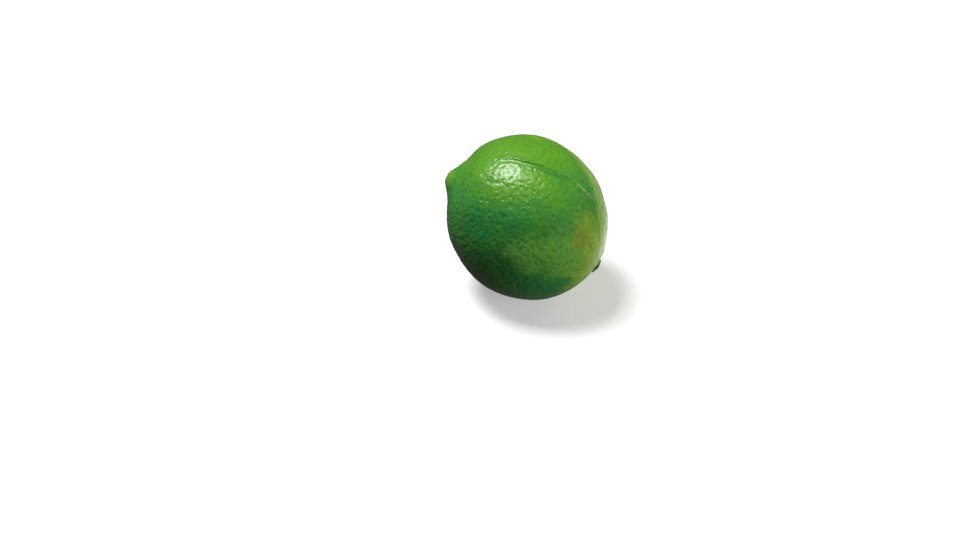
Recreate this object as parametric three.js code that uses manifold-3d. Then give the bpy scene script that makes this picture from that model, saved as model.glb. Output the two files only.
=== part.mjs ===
// A whole Persian lime lying on its side, nose up, on a small flat spot.
// The fruit is one grown solid: a short oval with a blunt nose at the blossom end, a low neck with a
// furrowed collar at the stem end, and a healed crease along one side. The dry calyx that the stalk
// left behind is a second solid, a thin cap over the neck.
// Millimetres, +Z up. The origin is the middle of the flat spot that the lime lies on.
import * as THREE from "three";
import { mergeVertices } from "three/addons/utils/BufferGeometryUtils.js";
import Module from "manifold-3d";

const degrees = THREE.MathUtils.degToRad;

// Driving dimensions of the fruit. Its own axis is X: the blossom end at -X, the stem end at +X.
const bodyLength = 56.4; // along the axis, without the nose
const bodyWidth = 54.0;
const axisTilt = degrees(30); // the stem end lies this far below the level
const flatSpotRadius = 5.2;

// How the body departs from an ellipsoid.
const shear = 0.62; // the blossom end leans one way and the stem end the other
const shearSide = degrees(55);
const blossomSag = 0.11; // both ends sit a little off the axis, the blossom end more so
const stemSag = 0.035;
const sagSide = degrees(235);
const lobes = [
  { count: 2, height: 0.16, turn: degrees(70) },
  { count: 3, height: 0.22, turn: degrees(20) },
  { count: 5, height: 0.1, turn: degrees(110) },
];
const swell = { height: 0.13, length: 4.2, turnX: 1.3, turnY: 0.4, finerUp: 1.7 }; // soft unevenness

// Blossom end: a broad nose with a narrower tip, the furrow round it, and the style's scar. The furrow
// is deeper on one side than on the other.
const nose = { height: 1.1, radius: 5.0 };
const noseTip = { height: 1.6, radius: 3.0 };
const noseFurrow = { depth: 0.58, distance: 8.2, width: 3.6, deepestSide: degrees(55), deepening: 0.2 };
const styleScar = { depth: 0.5, radius: 0.9 };

// Stem end: the low neck under the calyx, the collar round it, and the furrows across the collar.
const neck = { height: 0.65, radius: 2.7 };
const collar = { height: 0.18, distance: 5.2, width: 1.8 };
const furrows = { count: 7, depth: 0.26, distance: 6.6, width: 3.0 };

// The crease: a raised lip near the nose, the groove under it, and a broad, shallow trough under both,
// which fades out towards the stem end. Each rises between its two starts and fades between its two
// ends, which are angles from the nose.
const crease = {
  middle: degrees(104.5), // round the axis, where it crosses the belly
  drift: -0.15, // turn round the axis for each turn along it
  kink: { height: degrees(1.4), from: degrees(59.5), to: degrees(62) }, // a sideways step in it
  lip: {
    height: 0.3,
    distance: -0.8,
    width: 0.62,
    starts: [degrees(38), degrees(50)],
    ends: [degrees(68), degrees(84)],
  },
  groove: {
    height: -0.42,
    distance: 0.15,
    width: 0.6,
    starts: [degrees(46), degrees(64)],
    ends: [degrees(88), degrees(110)],
  },
  trough: {
    height: -0.2,
    distance: 2.6,
    width: 2.6,
    starts: [degrees(46), degrees(70)],
    ends: [degrees(96), degrees(134)],
  },
};

// The mesh: lines round the axis, closer together at the crease, and rings along it, closer at the ends.
const linesRound = 104;
const ringsAlong = 54;
const crowdingAtCrease = 0.7;
const crowdingAtEnds = 0.16;

// The calyx: a thin woody five-lobed star with the scar of the stalk on it. Its section is given by
// distances from its axis and heights above its seat, which is a gap's width over the neck.
const calyxRadius = 2.3;
const calyxLobes = { count: 5, height: 0.38, turn: degrees(30) };
const calyxSection = [
  [0, 0],
  [0.77, 0],
  [1.53, 0],
  [calyxRadius, 0],
  [2.42, 0.18],
  [2.25, 0.35],
  [1.85, 0.38],
  [1.2, 0.4],
  [1.02, 0.55],
  [0.8, 0.58],
  [0.5, 0.45],
  [0, 0.42],
];
const stalkRadius = 1.05;
const calyxLines = 60; // round it
const seatGap = 0.3;

const halfLength = bodyLength / 2;
const halfWidth = bodyWidth / 2;
const bump = (value, centre, width) => Math.exp(-(((value - centre) / width) ** 2));
const side = (angle) => new THREE.Vector3(0, Math.cos(angle), Math.sin(angle));

// The direction from the fruit's centre for an angle from the nose and an angle round the axis.
function directionAt(fromNose, round) {
  const along = Math.cos(fromNose);
  const sag = along > 0 ? blossomSag : stemSag;
  return new THREE.Vector3(-along, 0, 0)
    .addScaledVector(side(round), Math.sin(fromNose))
    .addScaledVector(side(sagSide), sag * along ** 2)
    .normalize();
}

// The plain body's radius in a direction: an ellipsoid that is sheared, lobed and softly uneven.
function bodyRadius(direction, fromNose, round) {
  const across = Math.hypot(direction.y, direction.z);
  const oval = 1 / Math.hypot(direction.x / halfLength, across / halfWidth);
  const leaning = shear * Math.sin(2 * fromNose) * Math.cos(round - shearSide);
  const lobed = lobes.reduce(
    (sum, lobe) => sum + lobe.height * Math.cos(lobe.count * round + lobe.turn),
    0,
  );
  const at = direction.clone().multiplyScalar(oval / swell.length);
  const coarse = Math.sin(at.x + swell.turnX) * Math.sin(at.y + swell.turnY);
  const finer = Math.sin(swell.finerUp * at.z) * Math.cos(at.x - at.y);
  return oval + leaning + lobed * Math.sin(fromNose) ** 2 + swell.height * (coarse + finer);
}

function blossomEnd(distance, round) {
  const deepened = 1 + noseFurrow.deepening * Math.cos(round - noseFurrow.deepestSide);
  return (
    nose.height * bump(distance, 0, nose.radius) +
    noseTip.height * bump(distance, 0, noseTip.radius) -
    noseFurrow.depth * deepened * bump(distance, noseFurrow.distance, noseFurrow.width) -
    styleScar.depth * bump(distance, 0, styleScar.radius)
  );
}

function stemEnd(distance, round) {
  const furrowed = Math.max(0, Math.cos(furrows.count * round + Math.sin(2 * round))) ** 2;
  return (
    neck.height * Math.exp(-((distance / neck.radius) ** 4)) +
    collar.height * bump(distance, collar.distance, collar.width) -
    furrows.depth * furrowed * bump(distance, furrows.distance, furrows.width)
  );
}

function creaseAt(fromNose) {
  const { height, from, to } = crease.kink;
  const beforeKink = 1 - THREE.MathUtils.smoothstep(fromNose, from, to);
  return crease.middle + crease.drift * (fromNose - Math.PI / 2) - height * beforeKink;
}

function creaseHeight(fromNose, round) {
  const turn = THREE.MathUtils.euclideanModulo(round - creaseAt(fromNose) + Math.PI, 2 * Math.PI) - Math.PI;
  const distance = turn * halfWidth * Math.sin(fromNose);
  return [crease.lip, crease.groove, crease.trough].reduce((sum, fold) => {
    const risen = THREE.MathUtils.smoothstep(fromNose, ...fold.starts);
    const faded = THREE.MathUtils.smoothstep(fromNose, ...fold.ends);
    return sum + fold.height * risen * (1 - faded) * bump(distance, fold.distance, fold.width);
  }, 0);
}

// A point of the rind in the fruit's own frame.
function rindPoint(fromNose, round) {
  const direction = directionAt(fromNose, round);
  const distance = halfWidth * Math.sin(fromNose);
  const atEnd = fromNose < Math.PI / 2 ? blossomEnd(distance, round) : stemEnd(distance, round);
  const radius = bodyRadius(direction, fromNose, round) + atEnd + creaseHeight(fromNose, round);
  return direction.multiplyScalar(radius);
}

// A sphere whose rings and lines are crowded where the detail is, with each vertex put on the rind.
function rindGeometry() {
  const geometry = new THREE.SphereGeometry(1, linesRound, ringsAlong);
  geometry.rotateZ(Math.PI / 2); // its poles lie along X, the first at -X
  const position = geometry.attributes.position;
  const vertex = new THREE.Vector3();
  for (let i = 0; i < position.count; i++) {
    vertex.fromBufferAttribute(position, i);
    const even = Math.acos(THREE.MathUtils.clamp(-vertex.x, -1, 1));
    const line = Math.atan2(vertex.z, vertex.y);
    const fromNose = even - crowdingAtEnds * Math.sin(2 * even);
    const round = creaseAt(fromNose) + line - crowdingAtCrease * Math.sin(line);
    position.setXYZ(i, ...rindPoint(fromNose, round));
  }
  return geometry;
}

// The calyx: a lathed star, its axis X, whose lobes follow the neck and the collar at the seat's gap.
function calyxGeometry() {
  const geometry = new THREE.LatheGeometry(
    calyxSection.map(([distance, height]) => new THREE.Vector2(distance, height)),
    calyxLines,
  );
  const position = geometry.attributes.position;
  for (let i = 0; i < position.count; i++) {
    const [x, z] = [position.getX(i), position.getZ(i)];
    const distance = Math.hypot(x, z);
    const share = Math.max(0, distance - stalkRadius) / (calyxRadius - stalkRadius);
    const wave = Math.cos(calyxLobes.count * (Math.atan2(z, x) - calyxLobes.turn));
    const lobe = wave * calyxLobes.height * share ** 2;
    const stretch = distance > 0 ? 1 + lobe / distance : 1;
    position.setXYZ(i, x * stretch, seatAt(distance + lobe) + position.getY(i), z * stretch);
  }
  geometry.rotateZ(-Math.PI / 2); // the lathe's axis turns from +Y to +X
  return geometry;
}

// How far along the stem's axis the calyx's seat lies, for a distance from that axis.
function seatAt(distance) {
  const turn = Math.asin(distance / halfWidth);
  return rindPoint(Math.PI - turn, 0).length() * Math.cos(turn) + seatGap;
}

const wasm = await Module();
wasm.setup();

function solidOf(geometry) {
  const bare = geometry.clone();
  bare.deleteAttribute("normal");
  bare.deleteAttribute("uv");
  const merged = mergeVertices(bare, 1e-4);
  return new wasm.Manifold(
    new wasm.Mesh({
      numProp: 3,
      vertProperties: merged.attributes.position.array,
      triVerts: new Uint32Array(merged.index.array),
    }),
  );
}

function geometryOf(solid) {
  const mesh = solid.getMesh();
  const geometry = new THREE.BufferGeometry();
  geometry.setAttribute("position", new THREE.BufferAttribute(mesh.vertProperties, 3));
  geometry.setIndex(new THREE.BufferAttribute(mesh.triVerts, 1));
  geometry.computeVertexNormals();
  return geometry;
}

// Tilts the fruit, finds the ground under it and slices the flat spot off the lowest point.
const rind = rindGeometry().rotateY(axisTilt);
rind.computeBoundingBox();
const sliceDepth = halfWidth - Math.sqrt(halfWidth ** 2 - flatSpotRadius ** 2);
const ground = rind.boundingBox.min.z + sliceDepth;
const blockSize = 2 * bodyLength;
const underGround = new THREE.BoxGeometry(blockSize, blockSize, blockSize);
underGround.translate(0, 0, ground - blockSize / 2);
const flatOn = geometryOf(solidOf(rind).subtract(solidOf(underGround)));

// The middle of the flat spot, which becomes the origin.
const footprint = new THREE.Box3();
const footPosition = flatOn.attributes.position;
for (let i = 0; i < footPosition.count; i++) {
  const corner = new THREE.Vector3().fromBufferAttribute(footPosition, i);
  if (Math.abs(corner.z - ground) < 1e-3) footprint.expandByPoint(corner);
}
const flatSpot = footprint.getCenter(new THREE.Vector3());

const fruit = new THREE.Mesh(
  flatOn,
  new THREE.MeshStandardMaterial({ color: 0x3f8a2f, roughness: 0.35, metalness: 0 }),
);
fruit.name = "fruit";

const stemDirection = directionAt(Math.PI, 0);
const calyx = new THREE.Mesh(
  calyxGeometry(),
  new THREE.MeshStandardMaterial({ color: 0x5a4a30, roughness: 0.9, metalness: 0 }),
);
calyx.name = "calyx";
calyx.quaternion.setFromUnitVectors(new THREE.Vector3(1, 0, 0), stemDirection);
const calyxTilt = new THREE.Group();
calyxTilt.rotation.y = axisTilt;
calyxTilt.add(calyx);

const lime = new THREE.Group();
lime.add(fruit, calyxTilt);
lime.position.copy(flatSpot).negate();

export default lime;
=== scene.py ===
import math

import bmesh
import bpy
import numpy as np
from mathutils import Matrix, Vector, kdtree, noise


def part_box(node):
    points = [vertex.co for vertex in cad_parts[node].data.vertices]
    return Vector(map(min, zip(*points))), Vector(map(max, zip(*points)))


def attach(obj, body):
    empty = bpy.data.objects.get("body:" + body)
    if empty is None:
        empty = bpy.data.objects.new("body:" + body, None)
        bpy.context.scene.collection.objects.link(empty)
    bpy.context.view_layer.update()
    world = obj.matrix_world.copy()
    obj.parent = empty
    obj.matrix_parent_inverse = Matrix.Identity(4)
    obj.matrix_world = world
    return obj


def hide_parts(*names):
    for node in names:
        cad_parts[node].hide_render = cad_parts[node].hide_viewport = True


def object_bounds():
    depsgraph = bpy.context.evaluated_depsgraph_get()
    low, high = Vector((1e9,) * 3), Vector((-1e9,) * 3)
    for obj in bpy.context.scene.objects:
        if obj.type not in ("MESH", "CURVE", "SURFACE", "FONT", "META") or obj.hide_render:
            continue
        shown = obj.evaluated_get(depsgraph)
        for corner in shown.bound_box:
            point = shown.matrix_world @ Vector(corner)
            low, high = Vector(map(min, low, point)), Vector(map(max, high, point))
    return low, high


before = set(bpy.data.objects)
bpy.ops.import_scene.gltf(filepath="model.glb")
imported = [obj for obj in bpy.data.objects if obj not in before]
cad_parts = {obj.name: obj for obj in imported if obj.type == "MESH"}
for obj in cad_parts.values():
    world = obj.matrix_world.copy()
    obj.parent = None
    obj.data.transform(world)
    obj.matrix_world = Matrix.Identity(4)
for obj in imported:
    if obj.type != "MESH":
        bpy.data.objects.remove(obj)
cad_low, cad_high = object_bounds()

# ---------------------------------------------------------------------------------------------
# The rind: a thin waxy skin over pith, which grew as one piece with the fruit, dimpled all over by
# oil glands. It is a short oval with a blunt nose at the blossom end, -X, a low neck at the stem
# end and a healed crease. Its own axis is X, then it is tilted and set down on its flat spot.
# ---------------------------------------------------------------------------------------------
mm = 0.001
degree = math.pi / 180

body_length = 56.4 * mm
body_width = 54.0 * mm
half_length = body_length / 2
half_width = body_width / 2
axis_tilt = 30 * degree

shear, shear_side = 0.62 * mm, 55 * degree  # how far the two ends lean opposite ways
blossom_sag, stem_sag, sag_side = 0.11, 0.035, 235 * degree  # how far each end is off the axis
# Lobes round the body: how many, how high, and how far turned.
lobes = ((2, 0.16 * mm, 70 * degree), (3, 0.22 * mm, 20 * degree), (5, 0.1 * mm, 110 * degree))
swell_height, swell_length = 0.13 * mm, 4.2 * mm
swell_starts, swell_quickening = (1.3, 0.4), 1.7

nose_height, nose_radius = 1.1 * mm, 5.0 * mm
nose_tip_height, nose_tip_radius = 1.6 * mm, 3.0 * mm
nose_furrow_depth, nose_furrow_distance, nose_furrow_width = 0.58 * mm, 8.2 * mm, 3.6 * mm
nose_furrow_side, nose_furrow_deepening = 55 * degree, 0.2
style_scar_depth, style_scar_radius = 0.5 * mm, 0.9 * mm

neck_height, neck_radius = 0.65 * mm, 2.7 * mm
collar_height, collar_distance, collar_width = 0.18 * mm, 5.2 * mm, 1.8 * mm
furrow_count, furrow_depth, furrow_distance, furrow_width = 7, 0.26 * mm, 6.6 * mm, 3.0 * mm

crease_middle, crease_drift = 104.5 * degree, -0.15  # round the axis, and how it moves along it
kink_height, kink_reach = 1.4 * degree, (59.5 * degree, 62 * degree)
crease_waves = ((0.13 * mm, 4.9 * mm, 0.4), (0.07 * mm, 2.1 * mm, 2.0))  # sway, length, start
# The crease's folds: height, distance from the crease's line and width, then the angles from the
# nose between which each rises and fades.
crease_folds = {
    "lip": (0.3 * mm, -0.8 * mm, 0.62 * mm, (38 * degree, 50 * degree), (68 * degree, 84 * degree)),
    "groove": (-0.42 * mm, 0.15 * mm, 0.6 * mm, (46 * degree, 64 * degree), (88 * degree, 110 * degree)),
    "trough": (-0.2 * mm, 2.6 * mm, 2.6 * mm, (46 * degree, 70 * degree), (96 * degree, 134 * degree)),
}


def hump(value, centre, width):
    return np.exp(-(((value - centre) / width) ** 2))


def smoothstep(value, low, high):
    share = np.clip((value - low) / (high - low), 0, 1)
    return share * share * (3 - 2 * share)


def direction_at(from_nose, around):
    """Unit vectors from the fruit's centre, for angles from the nose and round the axis."""
    along = np.cos(from_nose)
    sag = np.where(along > 0, blossom_sag, stem_sag) * along**2
    outward = np.stack(
        [
            -along,
            np.sin(from_nose) * np.cos(around) + sag * math.cos(sag_side),
            np.sin(from_nose) * np.sin(around) + sag * math.sin(sag_side),
        ],
        axis=-1,
    )
    return outward / np.linalg.norm(outward, axis=-1, keepdims=True)


def body_radius(direction, from_nose, around):
    """The plain body: an ellipsoid that is sheared, lobed and softly uneven."""
    across = np.hypot(direction[..., 1], direction[..., 2])
    oval = 1 / np.hypot(direction[..., 0] / half_length, across / half_width)
    leaning = shear * np.sin(2 * from_nose) * np.cos(around - shear_side)
    lobed = sum(height * np.cos(count * around + turn) for count, height, turn in lobes)
    x, y, z = np.moveaxis(direction * (oval / swell_length)[..., None], -1, 0)
    swell = np.sin(x + swell_starts[0]) * np.sin(y + swell_starts[1])
    swell = swell + np.sin(swell_quickening * z) * np.cos(x - y)
    return oval + leaning + lobed * np.sin(from_nose) ** 2 + swell_height * swell


def end_height(from_nose, around):
    """What the two ends add: nose, furrow and scar at one, neck, collar and furrows at the other."""
    distance = half_width * np.sin(from_nose)
    deepened = 1 + nose_furrow_deepening * np.cos(around - nose_furrow_side)
    furrow = deepened * hump(distance, nose_furrow_distance, nose_furrow_width)
    blossom = (
        nose_height * hump(distance, 0, nose_radius)
        + nose_tip_height * hump(distance, 0, nose_tip_radius)
        - nose_furrow_depth * furrow
        - style_scar_depth * hump(distance, 0, style_scar_radius)
    )
    furrowed = np.maximum(0, np.cos(furrow_count * around + np.sin(2 * around))) ** 2
    stem = (
        neck_height * np.exp(-((distance / neck_radius) ** 4))
        + collar_height * hump(distance, collar_distance, collar_width)
        - furrow_depth * furrowed * hump(distance, furrow_distance, furrow_width)
    )
    return np.where(from_nose < math.pi / 2, blossom, stem)


def crease_distance(from_nose, around):
    """How far round the rind a point lies from the crease's line."""
    line = crease_middle + crease_drift * (from_nose - math.pi / 2)
    line = line - kink_height * (1 - smoothstep(from_nose, *kink_reach))
    turn = (around - line + math.pi) % (2 * math.pi) - math.pi
    along = 2 * math.pi * half_width * from_nose
    waves = sum(sway * np.sin(along / length + start) for sway, length, start in crease_waves)
    return turn * half_width * np.sin(from_nose) + waves


def crease_height(from_nose, around):
    distance = crease_distance(from_nose, around)
    total = 0
    for height, place, width, starts, ends in crease_folds.values():
        share = smoothstep(from_nose, *starts) * (1 - smoothstep(from_nose, *ends))
        total = total + height * share * hump(distance, place, width)
    return total


def rind_points(from_nose, around):
    """Points of the rind in the fruit's own frame, without its fine relief."""
    direction = direction_at(from_nose, around)
    radius = body_radius(direction, from_nose, around)
    radius = radius + end_height(from_nose, around) + crease_height(from_nose, around)
    return direction * radius[..., None]


# The skin's mesh is a finely divided cube, rounded so that its squares are nearly even. Its
# middle is the fruit's, so each vertex has an angle from the nose and one round the axis.
cube_cuts = 127
skin_work = bmesh.new()
bmesh.ops.create_cube(skin_work, size=2)
bmesh.ops.subdivide_edges(
    skin_work, edges=skin_work.edges, cuts=cube_cuts, use_grid_fill=True
)
skin_mesh = bpy.data.meshes.new("skin")
skin_work.to_mesh(skin_mesh)
skin_work.free()

on_cube = np.zeros(3 * len(skin_mesh.vertices))
skin_mesh.vertices.foreach_get("co", on_cube)
on_sphere = np.tan(on_cube.reshape(-1, 3) * math.pi / 4)
on_sphere /= np.linalg.norm(on_sphere, axis=1, keepdims=True)
skin_from_nose = np.arccos(np.clip(-on_sphere[:, 0], -1, 1))
skin_around = np.arctan2(on_sphere[:, 2], on_sphere[:, 1])
skin_points = rind_points(skin_from_nose, skin_around)
skin_directions = direction_at(skin_from_nose, skin_around)

# Oil glands: a dimple over each, a little uneven in place, width and depth.
gland_spacing = 1.95 * mm
gland_shift = 0.28 * gland_spacing
gland_cell = 0.87 * gland_spacing**2  # the skin round one gland, a honeycomb's cell
gland_radius, gland_radius_range = 0.58 * mm, (0.7, 1.2)
gland_depth, gland_depth_range = 0.2 * mm, (0.3, 1.1)
gland_neighbours = 3
end_guard = 0.05  # keeps the shift round the axis small near the two ends
gland_draw = np.random.default_rng(11)
gland_total = round(4 * math.pi * half_width * half_length / gland_cell)
gland_number = np.arange(gland_total)
golden_turn = math.pi * (3 - math.sqrt(5))
gland_from_nose = np.arccos(1 - 2 * (gland_number + 0.5) / gland_total)
gland_around = golden_turn * gland_number
gland_from_nose += gland_draw.normal(0, gland_shift / half_width, gland_total)
gland_around += gland_draw.normal(0, gland_shift / half_width, gland_total) / np.maximum(
    end_guard, np.sin(gland_from_nose)
)
gland_widths = gland_radius * gland_draw.uniform(*gland_radius_range, gland_total)
gland_depths = gland_depth * gland_draw.uniform(*gland_depth_range, gland_total)
gland_tree = kdtree.KDTree(gland_total)
for number, place in enumerate(rind_points(gland_from_nose, gland_around)):
    gland_tree.insert(place, number)
gland_tree.balance()

# Between the dimples the skin is softly pebbled. The same walk over the skin draws the streaks
# that run from end to end, and the warp that breaks up the edges of its coloured patches.
pebbles = ((1.4 * mm, 0.05 * mm), (5.0 * mm, 0.07 * mm), (11 * mm, 0.12 * mm))  # length, height
streaks = ((9.0, 2.5, 1.0), (23.0, 6.0, 0.6))  # round the axis, along it, share
warps = ((7.0 * mm, 1.0), (2.6 * mm, 0.55), (1.0 * mm, 0.35))  # length, share
warp_seed = 3
noise.seed_set(warp_seed)  # without it, noise_vector changes from run to run
dimple_share = np.zeros(len(skin_points))
relief = np.zeros(len(skin_points))
streak = np.zeros(len(skin_points))
warp = np.zeros((len(skin_points), 3))
for index, place in enumerate(skin_points):
    place = Vector(place)
    for _, number, distance in gland_tree.find_n(place, gland_neighbours):
        share = math.exp(-((distance / gland_widths[number]) ** 2))
        dimple_share[index] += share
        relief[index] -= share * gland_depths[number]
    for length, height in pebbles:
        relief[index] += height * noise.noise(place / length)
    along, around = skin_from_nose[index], skin_around[index]
    for fast, slow, share in streaks:
        streak[index] += share * noise.noise(
            Vector((slow * along, fast * math.cos(around), fast * math.sin(around)))
        )
    for length, share in warps:
        warp[index] += share * np.array(noise.noise_vector(place / length))

# The skin is smoother round the stem. Fine wrinkles run out from both ends, and the whole skin lies
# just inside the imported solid.
smooth_reach, smooth_least = 28 * mm, 0.38
wrinkle_height, wrinkle_count, wrinkle_sway = 0.07 * mm, 19, 5
wrinkle_bunches, bunching = 3, 2
stem_wrinkles, nose_wrinkles = (4.9 * mm, 2.0 * mm), (3.4 * mm, 1.6 * mm)  # from the axis, width
skin_inset = 0.06 * mm
from_stem = (math.pi - skin_from_nose) * half_width
relief *= smooth_least + (1 - smooth_least) * smoothstep(from_stem, 0, smooth_reach)
off_axis = half_width * np.sin(skin_from_nose)
swayed = wrinkle_sway * streak + bunching * np.sin(wrinkle_bunches * skin_around)
wrinkled = np.cos(wrinkle_count * skin_around + swayed)
at_stem = (skin_from_nose > math.pi / 2) * hump(off_axis, *stem_wrinkles)
at_nose = (skin_from_nose < math.pi / 2) * hump(off_axis, *nose_wrinkles)
relief += wrinkle_height * wrinkled * (at_stem + at_nose) - skin_inset

skin_points = skin_points + skin_directions * relief[:, None]
tilt_turn = np.array(Matrix.Rotation(axis_tilt, 3, "Y"))
skin_points = skin_points @ tilt_turn.T

# The fruit is set down over its flat spot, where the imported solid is, and the spot is pressed flat.
fruit_low, fruit_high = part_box("fruit")
skin_low, skin_high = skin_points.min(axis=0), skin_points.max(axis=0)
set_down = np.array(
    [
        (fruit_low.x + fruit_high.x - skin_low[0] - skin_high[0]) / 2,
        (fruit_low.y + fruit_high.y - skin_low[1] - skin_high[1]) / 2,
        fruit_high.z - skin_high[2],
    ]
)
skin_points = skin_points + set_down
skin_points[:, 2] = np.maximum(skin_points[:, 2], 0)
skin_mesh.vertices.foreach_set("co", skin_points.ravel())
skin_mesh.shade_smooth()
skin_mesh.update()

skin = bpy.data.objects.new("skin", skin_mesh)
bpy.context.scene.collection.objects.link(skin)


# Where the colour of the skin changes. Each patch has its strength, the place of its middle from
# the nose and round the axis, and its reach along the fruit and round it, all in degrees. It is
# full at its middle, and fades to about a third at its reach. Their edges are warped.
warp_reach, warp_guard = 4.5 * degree, 0.2
patch_from_nose = skin_from_nose + warp_reach * warp[:, 0]
patch_around = skin_around + warp_reach * warp[:, 1] / np.maximum(
    warp_guard, np.sin(skin_from_nose)
)


def patch(strength, from_nose, around, reach_along, reach_around):
    drop = (patch_from_nose - from_nose * degree) / (reach_along * degree)
    turn = (patch_around - around * degree + math.pi) % (2 * math.pi) - math.pi
    turn = turn * np.sin(skin_from_nose) / (reach_around * degree)
    return strength * np.exp(-(drop**2 + turn**2))


patches = {
    # the yellow-green sunny side on top, partly the skin's own colour and partly painted light where the
    # overhead light falls, and painted glow round and below the highlight
    "sunny_side_and_glow": [(1.1, 60, 76, 50, 40), (1, 60, 127, 22, 14), (0.45, 95, 121, 14, 10)],
    # painted light: a yellow glow along the edge that the camera sees on the right, and below the
    # highlight
    "painted_glow": [
        (1, 88, 46, 45, 20),
        (1, 116, 66, 20, 16),
        (0.34, 64, 131, 15, 8),
        (1.1, 136, 82, 20, 15),
    ],
    # painted shade: deep green on the lower front and on the underside, where shade falls
    "painted_shade": [(1, 58, 178, 24, 22), (0.7, 80, 150, 15, 11), (0.9, 114, 189, 26, 12)],
    "underside_shade": [(1, 131, 187, 15, 11)],
    # painted reflection of the pale floor: a paler patch low on the front, whose broad middle is added
    # below, and a weak paler patch below the highlight
    "ground": [(0.9, 134, 146, 14, 17), (0.6, 66, 131, 18, 7)],
    # brown, corky skin near the stem, and scuffs
    "russet": [(0.9, 138, 127, 19, 13), (0.5, 148, 133, 14, 13), (0.8, 126, 124, 12, 9)],
    "scuffed": [(1, 115, 110, 7, 8), (1, 70, 310, 5, 12), (1, 104, 20, 9, 4)],
}
ground_middle = [(1, 92, 173, 11, 10), (1, 103, 167, 15, 15), (1, 117, 156, 15, 17)]

skin_fields = {name: sum(patch(*one) for one in ones) for name, ones in patches.items()}
skin_fields["ground"] += np.maximum.reduce([patch(*one) for one in ground_middle])
skin_fields["dimple"] = np.clip(dimple_share, 0, 1)
skin_fields["streak"] = streak
skin_fields["crease_distance"] = crease_distance(skin_from_nose, skin_around) / mm
skin_fields["from_nose"] = skin_from_nose / degree
skin_fields["nose_distance"] = skin_from_nose * half_width / mm
skin_fields["stem_distance"] = (math.pi - skin_from_nose) * half_width / mm
for field_name, field in skin_fields.items():
    attribute = skin_mesh.attributes.new(field_name, "FLOAT", "POINT")
    attribute.data.foreach_set("value", field.astype(np.float32))


def add_node(tree, kind, sockets, **settings):
    """A shader node with its settings, and a value or a link on each socket that is named."""
    made = tree.nodes.new("ShaderNode" + kind)
    for name, value in settings.items():
        setattr(made, name, value)
    for name, value in sockets.items():
        if isinstance(value, bpy.types.NodeSocket):
            tree.links.new(value, made.inputs[name])
        else:
            made.inputs[name].default_value = value
    return made


def maths(tree, operation, first, second=0.0, third=0.0):
    made = add_node(tree, "Math", {0: first, 1: second, 2: third}, operation=operation)
    return made.outputs[0]


def rise(tree, value, low, high):
    """0 at the low value and 1 at the high one, with a soft step between."""
    sockets = {"Value": value, "From Min": low, "From Max": high}
    made = add_node(tree, "MapRange", sockets, interpolation_type="SMOOTHSTEP")
    return made.outputs["Result"]


def mixed(tree, share, under, over):
    """One colour laid over another, by its share."""
    made = add_node(tree, "Mix", {0: share, 6: under, 7: over}, data_type="RGBA")
    return made.outputs[2]


def field_of(tree, name):
    return add_node(tree, "Attribute", {}, attribute_name=name).outputs["Fac"]


def new_material(name):
    material = bpy.data.materials.new(name)
    material.use_nodes = True
    return material.node_tree, material.node_tree.nodes["Principled BSDF"]


# Grain, which the rind and the calyx both have: soft noise of one size, between two levels.
grain_group = bpy.data.node_groups.new("grain", "ShaderNodeTree")
grain_face = grain_group.interface
grain_face.new_socket("Place", in_out="INPUT", socket_type="NodeSocketVector")
for socket_name in ("Size", "Low", "High"):
    grain_face.new_socket(socket_name, in_out="INPUT", socket_type="NodeSocketFloat")
grain_face.new_socket("Share", in_out="OUTPUT", socket_type="NodeSocketFloat")
grain_in = grain_group.nodes.new("NodeGroupInput").outputs
grain_detail = 3
grain_scale = maths(grain_group, "DIVIDE", 1.0, grain_in["Size"])
grain_sockets = {"Vector": grain_in["Place"], "Scale": grain_scale, "Detail": grain_detail}
grain_noise = add_node(grain_group, "TexNoise", grain_sockets)
grain_share = rise(grain_group, grain_noise.outputs["Fac"], grain_in["Low"], grain_in["High"])
grain_out = grain_group.nodes.new("NodeGroupOutput")
grain_group.links.new(grain_share, grain_out.inputs["Share"])


def grain(tree, place, size, low=0.25, high=0.75):
    sockets = {"Place": place, "Size": size, "Low": low, "High": high}
    return add_node(tree, "Group", sockets, node_tree=grain_group).outputs["Share"]


# the deep green of the skin's own clouds, also used for painted shade
rind_deep = (0.024, 0.206, 0.045, 1)
rind_green = (0.062, 0.250, 0.026, 1)
# the sunny side's yellow-green, also used as painted light on the lit top and round the highlight
rind_sunny_and_glow = (0.092, 0.280, 0.016, 1)
# the pale green of the painted floor reflection
rind_ground = (0.140, 0.382, 0.054, 1)
rind_russet = (0.215, 0.258, 0.030, 1)
# the yellow-green round the stem, the nose and the russet, also used for painted rim light and glow
rind_halo_and_glow = (0.240, 0.420, 0.030, 1)
rind_collar = (0.350, 0.530, 0.050, 1)
rind_neck = (0.400, 0.540, 0.140, 1)
rind_dimple = (0.014, 0.115, 0.026, 1)
rind_pale = (0.200, 0.420, 0.090, 1)
rind_tan = (0.340, 0.370, 0.100, 1)
rind_brown = (0.150, 0.135, 0.034, 1)
rind_roughness, rind_dry_roughness = 0.24, 0.40
blotch_size, fleck_size = 4.5 * mm, 0.8 * mm
flecked = 0.3  # how far the flecks move a patch's edge
patch_limit = 0.05, 0.4  # no patch goes past where its own strength is this low
spot_core = 0.4

rind, rind_shader = new_material("waxy_rind")
rind_place = add_node(rind, "TexCoord", {}).outputs["Object"]
blotch = grain(rind, rind_place, blotch_size)
fleck = grain(rind, rind_place, fleck_size)
rind_streak = field_of(rind, "streak")


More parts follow.
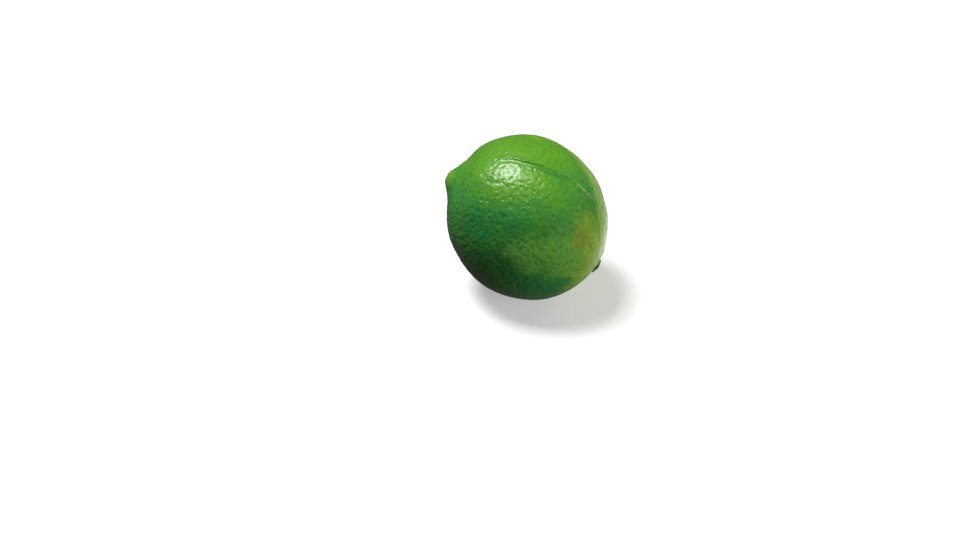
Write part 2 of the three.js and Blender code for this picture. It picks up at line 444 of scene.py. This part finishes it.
def broken_patch(name, low, high, blotched=0.3, streaked=0.0):
    """A patch that sets in between two strengths, with an edge broken by blotches and streaks."""
    field = field_of(rind, name)
    share = maths(rind, "MULTIPLY_ADD", blotch, blotched, field)
    share = maths(rind, "MULTIPLY_ADD", fleck, flecked, share)
    share = maths(rind, "MULTIPLY_ADD", rind_streak, streaked, share)
    middle = (blotched + flecked) / 2
    inside = rise(rind, field, *patch_limit)
    return maths(rind, "MULTIPLY", rise(rind, share, low + middle, high + middle), inside)


def spots(spacing, radius, kept):
    """Round spots: one at the middle of each kept cell of a random pattern."""
    cell = add_node(rind, "TexVoronoi", {"Vector": rind_place, "Scale": 1 / spacing})
    near = rise(rind, cell.outputs["Distance"], radius / spacing, spot_core * radius / spacing)
    draw = add_node(rind, "SeparateColor", {"Color": cell.outputs["Color"]}).outputs["Red"]
    return maths(rind, "MULTIPLY", near, maths(rind, "LESS_THAN", draw, kept))


def band(value, centre, width):
    """1 where a value is at the centre, and 0 past the width on either side."""
    away = maths(rind, "ABSOLUTE", maths(rind, "SUBTRACT", value, centre))
    return rise(rind, away, width, 0.0)


def product(*shares):
    total = shares[0]
    for share in shares[1:]:
        total = maths(rind, "MULTIPLY", total, share)
    return total


# Distances from the two ends and across the crease are in millimetres, and those along the fruit
# are in degrees from the nose. Each pair says where a colour starts and where it is full.
stem_halo, stem_collar, stem_neck, nose_halo = (20, 5), (23.5, 10), (3.4, 2.4), (5, 1.5)
stem_ragged = 4.0  # how far the streaks move the edges of the stem's colours
scar_reach = 1.2, 0.6
healed_middle, healed_width = (-0.5, 111), (0.8, 13)  # across the crease, and along it
# where the painted shade in the crease's groove lies, across the crease and along it
groove_middle, groove_width, groove_stretch = 0.8, 1.8, ((64, 76), (104, 84))
cloud_size, cloud_levels = 16 * mm, (0.38, 0.62)
healed_levels, scuff_levels, russet_levels = (0, 0.4), (0.45, 0.8), (-0.7, 0.3)
dimple_least, dimple_on_ground = 0.2, 0.1

along_rind = field_of(rind, "from_nose")


def stretch(starts, ends):
    """A stretch along the fruit: it sets in over the first pair, and fades over the second."""
    return product(rise(rind, along_rind, *starts), rise(rind, along_rind, *ends))


across_crease = field_of(rind, "crease_distance")
stem_distance = field_of(rind, "stem_distance")
nose_distance = field_of(rind, "nose_distance")
streaked_stem = maths(rind, "MULTIPLY_ADD", rind_streak, stem_ragged, stem_distance)
healed = product(
    band(across_crease, healed_middle[0], healed_width[0]),
    band(along_rind, healed_middle[1], healed_width[1]),
    rise(rind, fleck, *healed_levels),
)
scuffed = broken_patch("scuffed", 0.45, 0.75, blotched=0.6)
scuffs = product(scuffed, rise(rind, fleck, *scuff_levels))
style_scar = rise(rind, nose_distance, *scar_reach)
groove = product(band(across_crease, groove_middle, groove_width), stretch(*groove_stretch))
clouds = grain(rind, rind_place, cloud_size, *cloud_levels)
ground_share = broken_patch("ground", 0.15, 0.8, blotched=0.35)
russet_share = broken_patch("russet", 0.1, 1.3, blotched=0.4, streaked=0.4)
russet_streaks = product(russet_share, rise(rind, rind_streak, *russet_levels))
# the dimples show darker inside the painted floor reflection
dimple_strength = maths(rind, "MULTIPLY_ADD", ground_share, dimple_on_ground, dimple_least)
dimple = product(field_of(rind, "dimple"), dimple_strength)

# The skin's colours, each laid over the ones before: where it lies, its strength and its colour.
skin_layers = [
    (clouds, 0.5, rind_deep),
    # painted shade on the lower front
    (broken_patch("painted_shade", 0.2, 1.0), 1, rind_deep),
    # partly painted light: yellow-green on the lit top and round the highlight
    (broken_patch("sunny_side_and_glow", 0.2, 0.9), 1, rind_sunny_and_glow),
    # painted rim light along the right-hand edge and painted glow below the highlight, in the halo's
    # colour
    (broken_patch("painted_glow", 0.1, 0.85, streaked=0.3), 0.8, rind_halo_and_glow),
    # painted reflection of the floor, low on the front
    (ground_share, 0.85, rind_ground),
    (rise(rind, streaked_stem, *stem_halo), 0.75, rind_halo_and_glow),
    (russet_share, 0.7, rind_halo_and_glow),
    (russet_streaks, 0.8, rind_russet),
    (rise(rind, streaked_stem, *stem_collar), 0.6, rind_collar),
    # painted shade underneath, near the stem
    (broken_patch("underside_shade", 0.15, 0.9), 0.85, rind_deep),
    (rise(rind, stem_distance, *stem_neck), 0.6, rind_neck),
    (rise(rind, nose_distance, *nose_halo), 0.4, rind_halo_and_glow),
    (dimple, 1, rind_dimple),
    # painted shade: the crease's groove darkened where its wall faces away from the light
    (groove, 0.5, rind_dimple),
    (spots(spacing=2.6 * mm, radius=0.3 * mm, kept=0.3), 0.4, rind_pale),
    (spots(spacing=5.5 * mm, radius=0.3 * mm, kept=0.1), 0.45, rind_brown),
    (scuffs, 0.5, rind_brown),
    (healed, 0.75, rind_tan),
    (style_scar, 1, rind_brown),
]
skin_colour = rind_green
for share, strength, colour in skin_layers:
    skin_colour = mixed(rind, product(share, strength), skin_colour, colour)
rind.links.new(skin_colour, rind_shader.inputs["Base Color"])

# The wax is glossy, and the healed crease and the style's scar are dry.
dry = maths(rind, "MAXIMUM", healed, style_scar)
dry_gain = rind_dry_roughness - rind_roughness
rind_gloss = maths(rind, "MULTIPLY_ADD", dry, dry_gain, rind_roughness)
rind.links.new(rind_gloss, rind_shader.inputs["Roughness"])
rind_shader.inputs["Specular IOR Level"].default_value = 0.3
rind_shader.inputs["Coat Weight"].default_value = 0.22
rind_shader.inputs["Coat Roughness"].default_value = 0.1
rind_shader.inputs["Subsurface Weight"].default_value = 0.15
rind_shader.inputs["Subsurface Radius"].default_value = (0.5, 1.0, 0.25)
rind_shader.inputs["Subsurface Scale"].default_value = 1.0 * mm

# Fine relief, with heights in millimetres: the crinkled wax, which lies flatter round the stem,
# small pores, and the crease's sharp lip and line.
crinkle_size, crinkle_least, crinkle_gain, crinkle_reach = 0.8 * mm, 0.02, 0.055, (0, 30)
pore_spacing, pore_depth, pore_edge = 1.4 * mm, 0.06, (0.4, 0.05)
lip_middle, lip_width, lip_height, lip_stretch = -0.8, 0.42, 0.12, ((42, 48), (80, 68))
line_middle, line_width, line_depth, line_stretch = -0.3, 0.5, 0.05, ((44, 52), (92, 74))
crinkled = rise(rind, stem_distance, *crinkle_reach)
crinkled = maths(rind, "MULTIPLY_ADD", crinkled, crinkle_gain, crinkle_least)
crinkle = product(grain(rind, rind_place, crinkle_size), crinkled)
pore_cells = add_node(rind, "TexVoronoi", {"Vector": rind_place, "Scale": 1 / pore_spacing})
pores = product(rise(rind, pore_cells.outputs["Distance"], *pore_edge), -pore_depth)
lip = product(band(across_crease, lip_middle, lip_width), stretch(*lip_stretch), lip_height)
line = product(band(across_crease, line_middle, line_width), stretch(*line_stretch), -line_depth)
fine_height = maths(rind, "ADD", maths(rind, "ADD", crinkle, pores), maths(rind, "ADD", lip, line))
fine_relief = add_node(rind, "Bump", {"Distance": mm, "Height": fine_height})
rind.links.new(fine_relief.outputs["Normal"], rind_shader.inputs["Normal"])
skin_mesh.materials.append(bpy.data.materials["waxy_rind"])

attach(skin, "root")
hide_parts("fruit")

# ---------------------------------------------------------------------------------------------
# The calyx: the dry woody star that stays on a picked lime, with the scar of the stalk in its
# middle. It grew onto the stem end, so its underside lies a little way into the skin.
# ---------------------------------------------------------------------------------------------
calyx_reach, stalk_reach = 2.3 * mm, 1.05 * mm
lobe_count, lobe_length, lobe_turn = 5, 0.38 * mm, 30 * degree
lobe_length_range, lobe_curl_range = (0.75, 1.0), (-0.04 * mm, 0.14 * mm)
rib_height, rib_width = 0.09 * mm, 0.16
crumple_height, crumple_size = 0.06 * mm, 0.42 * mm
crumple_start, crumple_softness, crumple_step, crumple_octaves = Vector((3, 7, 1)), 0.6, 2.2, 4
crumple_under = 0.3  # the share of the crumpling that the underside has too
upper_height = 0.3 * mm  # above this, the star's upper face
calyx_steps, calyx_ring_gap, merge_distance = 160, 0.07 * mm, 0.002 * mm
# Its section, in millimetres: distance from the axis, and height above the skin.
calyx_section = [
    (0.0, -0.1),
    (1.4, -0.1),
    (2.2, -0.06),
    (2.36, 0.1),
    (2.32, 0.24),
    (2.15, 0.32),
    (1.8, 0.33),
    (1.45, 0.36),
    (1.2, 0.4),
    (1.12, 0.34),
    (1.02, 0.48),
    (0.9, 0.55),
    (0.76, 0.53),
    (0.6, 0.44),
    (0.4, 0.4),
    (0.0, 0.38),
]

section = np.array(calyx_section) * mm
section_length = np.concatenate([[0], np.cumsum(np.hypot(*np.diff(section, axis=0).T))])
section_marks = np.linspace(0, section_length[-1], round(section_length[-1] / calyx_ring_gap))
section_distance = np.interp(section_marks, section_length, section[:, 0])
section_height = np.interp(section_marks, section_length, section[:, 1])

calyx_work = bmesh.new()
section_verts = [
    calyx_work.verts.new((height, -distance, 0))
    for distance, height in zip(section_distance, section_height)
]
for inner, outer in zip(section_verts[:-1], section_verts[1:]):
    calyx_work.edges.new((inner, outer))
bmesh.ops.spin(
    calyx_work,
    geom=calyx_work.verts[:] + calyx_work.edges[:],
    cent=(0, 0, 0),
    axis=(1, 0, 0),
    angle=2 * math.pi,
    steps=calyx_steps,
    use_merge=True,
)
bmesh.ops.remove_doubles(calyx_work, verts=calyx_work.verts, dist=merge_distance)
bmesh.ops.smooth_vert(
    calyx_work, verts=calyx_work.verts, factor=0.5, use_axis_x=True, use_axis_y=True, use_axis_z=True
)
bmesh.ops.recalc_face_normals(calyx_work, faces=calyx_work.faces)

# The lobes are drawn out, each to its own length, with a rib down the middle, curled tips and
# a crumpled surface. The skin under each vertex sets its height.
calyx_draw = np.random.default_rng(5)
lobe_lengths = calyx_draw.uniform(*lobe_length_range, lobe_count)
lobe_curls = calyx_draw.uniform(*lobe_curl_range, lobe_count)
calyx_turn = Vector((1, 0, 0)).rotation_difference(
    Vector(direction_at(np.array(math.pi), np.array(0.0)))
)
calyx_from_axis = []
for vert in calyx_work.verts:
    height, distance = vert.co.x, math.hypot(vert.co.y, vert.co.z)
    around = math.atan2(vert.co.z, -vert.co.y)
    turned = around - lobe_turn
    lobe = round(turned / (2 * math.pi) * lobe_count) % lobe_count
    wave = math.cos(lobe_count * turned)
    share = max(0, distance - stalk_reach) / (calyx_reach - stalk_reach)
    drawn_out = lobe_lengths[lobe] if wave > 0 else 1
    reach = distance + lobe_length * wave * drawn_out * share**2
    off_rib = math.acos(max(-1, min(1, wave))) / lobe_count
    upper = max(0, min(1, height / upper_height))
    lift = upper * rib_height * math.exp(-((off_rib / rib_width) ** 2)) * min(1, share)
    lift += upper * max(0, wave) * lobe_curls[lobe] * min(1, share) ** 3
    place = Vector((height, vert.co.y, vert.co.z)) / crumple_size
    crumple = noise.fractal(
        place + crumple_start, crumple_softness, crumple_step, crumple_octaves
    )
    lift += crumple_height * crumple * (crumple_under + upper)
    reach += crumple_height / 2 * noise.noise(place) * min(1, share)
    turn = math.asin(reach / half_width)
    skin_at = np.linalg.norm(rind_points(np.array(math.pi - turn), np.array(0.0))) * math.cos(turn)
    calyx_from_axis.append(reach / mm)
    vert.co = calyx_turn @ Vector(
        (skin_at + height + lift, -reach * math.cos(around), reach * math.sin(around))
    )

calyx_mesh = bpy.data.meshes.new("calyx_star")
calyx_work.to_mesh(calyx_mesh)
calyx_work.free()
calyx_mesh.transform(Matrix.Rotation(axis_tilt, 4, "Y"))
calyx_mesh.transform(Matrix.Translation(Vector(set_down)))
calyx_mesh.shade_smooth()
from_axis = calyx_mesh.attributes.new("from_axis", "FLOAT", "POINT")
from_axis.data.foreach_set("value", calyx_from_axis)
calyx_star = bpy.data.objects.new("calyx_star", calyx_mesh)
bpy.context.scene.collection.objects.link(calyx_star)

bark_dark = (0.024, 0.022, 0.010, 1)
bark_brown = (0.100, 0.080, 0.034, 1)
bark_pale = (0.280, 0.240, 0.130, 1)
bark_olive = (0.100, 0.115, 0.036, 1)
bark_grain_size, bark_relief_depth = 0.2 * mm, 0.05 * mm
olive_size, olive_levels = 0.9 * mm, (0.45, 0.65)
stalk_ring, stalk_pit = (1.1, 0.85), (0.65, 0.4)  # millimetres from the axis

bark, bark_shader = new_material("calyx_bark")
bark_place = add_node(bark, "TexCoord", {}).outputs["Object"]
bark_grain = grain(bark, bark_place, bark_grain_size)
olive_share = grain(bark, bark_place, olive_size, *olive_levels)
from_stalk = field_of(bark, "from_axis")
bark_colour = mixed(bark, bark_grain, bark_dark, bark_brown)
bark_colour = mixed(bark, olive_share, bark_colour, bark_olive)
bark_colour = mixed(bark, rise(bark, from_stalk, *stalk_ring), bark_colour, bark_pale)
bark_colour = mixed(bark, rise(bark, from_stalk, *stalk_pit), bark_colour, bark_brown)
bark_shader.inputs["Roughness"].default_value = 0.8
bark.links.new(bark_colour, bark_shader.inputs["Base Color"])
bark_relief = add_node(bark, "Bump", {"Distance": bark_relief_depth, "Height": bark_grain})
bark.links.new(bark_relief.outputs["Normal"], bark_shader.inputs["Normal"])
calyx_mesh.materials.append(bpy.data.materials["calyx_bark"])

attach(calyx_star, "root")
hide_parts("calyx")

# ---------------------------------------------------------------------------------------------
# The floor: a plain pale floor, which glows: a little round the fruit, which lightens its shadow,
# and more further out, where the lights don't reach, to stay as pale. What the fruit reflects of it,
# and the light that the fruit gets from it, is a glowing white card close behind the fruit, made of two
# soft ovals, and dark all round.
# ---------------------------------------------------------------------------------------------
floor_radius, floor_sides, floor_drop = 1.5, 96, 0.02 * mm
floor_grey, floor_roughness = (0.7, 0.7, 0.7, 1), 0.7
floor_glow_middle, floor_glow_far, floor_glow_reach = 0.38, 1.0, (0.12, 0.5)
card_dark = 0.08
near_oval, near_strength = ((28 * mm, 40 * mm, 0), (34 * mm, 44 * mm, 1)), 0.9  # middle, reach
far_oval, far_strength = ((45 * mm, 112 * mm, 0), (67 * mm, 121 * mm, 1)), 0.45
card_edge = 1, 0.2

floor_work = bmesh.new()
bmesh.ops.create_circle(floor_work, cap_ends=True, segments=floor_sides, radius=floor_radius)
bmesh.ops.translate(floor_work, verts=floor_work.verts, vec=(0, 0, -floor_drop))
floor_mesh = bpy.data.meshes.new("floor")
floor_work.to_mesh(floor_mesh)
floor_work.free()
floor = bpy.data.objects.new("floor", floor_mesh)
bpy.context.scene.collection.objects.link(floor)

floor_paint, floor_shader = new_material("floor_paint")
floor_shader.inputs["Roughness"].default_value = floor_roughness
floor_shader.inputs["Base Color"].default_value = floor_grey
floor_shader.inputs["Emission Color"].default_value = (1, 1, 1, 1)
floor_place = add_node(floor_paint, "TexCoord", {}).outputs["Object"]
from_middle = add_node(floor_paint, "VectorMath", {0: floor_place}, operation="LENGTH")
far_share = rise(floor_paint, from_middle.outputs["Value"], *floor_glow_reach)
glow_gain = floor_glow_far - floor_glow_middle
floor_glow = maths(floor_paint, "MULTIPLY_ADD", far_share, glow_gain, floor_glow_middle)
floor_paint.links.new(floor_glow, floor_shader.inputs["Emission Strength"])


def card_oval(middle, reach):
    """An oval of the floor: 1 round its middle and 0 at its reach along X and Y."""
    moved = add_node(floor_paint, "VectorMath", {0: floor_place, 1: middle}, operation="SUBTRACT")
    sockets = {0: moved.outputs["Vector"], 1: reach}
    shrunk = add_node(floor_paint, "VectorMath", sockets, operation="DIVIDE")
    away = add_node(floor_paint, "VectorMath", {0: shrunk.outputs["Vector"]}, operation="LENGTH")
    return rise(floor_paint, away.outputs["Value"], *card_edge)


card_glow = card_dark
for oval, oval_strength in ((near_oval, near_strength), (far_oval, far_strength)):
    card_glow = maths(floor_paint, "MULTIPLY_ADD", card_oval(*oval), oval_strength, card_glow)
card = add_node(floor_paint, "Emission", {"Strength": card_glow})
floor_seen = add_node(floor_paint, "LightPath", {}).outputs["Is Camera Ray"]
card_or_floor = add_node(
    floor_paint, "MixShader", {0: floor_seen, 1: card.outputs[0], 2: floor_shader.outputs[0]}
)
floor_paint.links.new(
    card_or_floor.outputs[0], floor_paint.nodes["Material Output"].inputs["Surface"]
)
floor_mesh.materials.append(bpy.data.materials["floor_paint"])

# ---------------------------------------------------------------------------------------------
# The studio: a soft box overhead, two at the stem side that don't show in the wax, and a weak warm
# one that shows only in it. White is all round, bright to the camera and dim to the fruit. The
# camera looks down at the fruit, which lies a little up and right of the frame's middle.
# ---------------------------------------------------------------------------------------------
centre = (cad_low + cad_high) / 2


def soft_light(name, direction, distance, size, power):
    """A soft box turned to the fruit, which the camera doesn't see."""
    direction = Vector(direction).normalized()
    light = bpy.data.lights.new(name, "AREA")
    light.shape = "RECTANGLE"
    light.size, light.size_y = size
    light.energy = power
    lamp = bpy.data.objects.new(name, light)
    lamp.location = centre + direction * distance
    lamp.rotation_euler = direction.to_track_quat("Z", "Y").to_euler()
    lamp.visible_camera = False
    bpy.context.scene.collection.objects.link(lamp)
    return lamp


soft_light(
    "overhead_box", direction=(-0.385, 0.035, 0.95), distance=0.6, size=(0.3, 0.3), power=5.6
)
right_fill = soft_light(
    "right_fill", direction=(0.93, -0.28, 0.15), distance=0.4, size=(0.3, 0.2), power=1.2
)
right_fill.visible_glossy = False
rim_light = soft_light(
    "rim_light", direction=(0.5, 0.85, 0.12), distance=0.45, size=(0.3, 0.3), power=0.55
)
rim_light.visible_glossy = False
glint_box = soft_light(
    "glint_box", direction=(0.05, -0.08, 0.98), distance=0.6, size=(0.32, 0.22), power=1.2
)
glint_box.data.color = (1.0, 0.97, 0.7)
glint_box.visible_diffuse = False

backdrop_strength, backdrop_seen_gain = 0.055, 0.945
world = bpy.data.worlds.new("studio")
world.use_nodes = True
bpy.context.scene.world = world
backdrop = world.node_tree
backdrop_shader = backdrop.nodes["Background"]
backdrop_shader.inputs["Color"].default_value = (1, 1, 1, 1)
backdrop_seen = add_node(backdrop, "LightPath", {}).outputs["Is Camera Ray"]
backdrop_glow = maths(
    backdrop, "MULTIPLY_ADD", backdrop_seen, backdrop_seen_gain, backdrop_strength
)
backdrop.links.new(backdrop_glow, backdrop_shader.inputs["Strength"])

camera_azimuth, camera_elevation = 13.6 * degree, 33 * degree
camera_distance, camera_lens = 0.76, 85
fruit_pixel, middle_pixel, pixels_per_metre = (525.4, 215.8), (480, 270), 2980
fruit_right = (fruit_pixel[0] - middle_pixel[0]) / pixels_per_metre
fruit_up = (middle_pixel[1] - fruit_pixel[1]) / pixels_per_metre
back = Vector(
    (
        math.sin(camera_azimuth) * math.cos(camera_elevation),
        -math.cos(camera_azimuth) * math.cos(camera_elevation),
        math.sin(camera_elevation),
    )
)
right = Vector((math.cos(camera_azimuth), math.sin(camera_azimuth), 0))
up = back.cross(right)
aim = centre - right * fruit_right - up * fruit_up
camera_data = bpy.data.cameras.new("camera")
camera_data.lens = camera_lens
camera = bpy.data.objects.new("camera", camera_data)
camera.location = centre + back * camera_distance
camera.rotation_euler = (camera.location - aim).to_track_quat("Z", "Y").to_euler()
bpy.context.scene.collection.objects.link(camera)
bpy.context.scene.camera = camera
bpy.context.scene.view_settings.view_transform = "Standard"
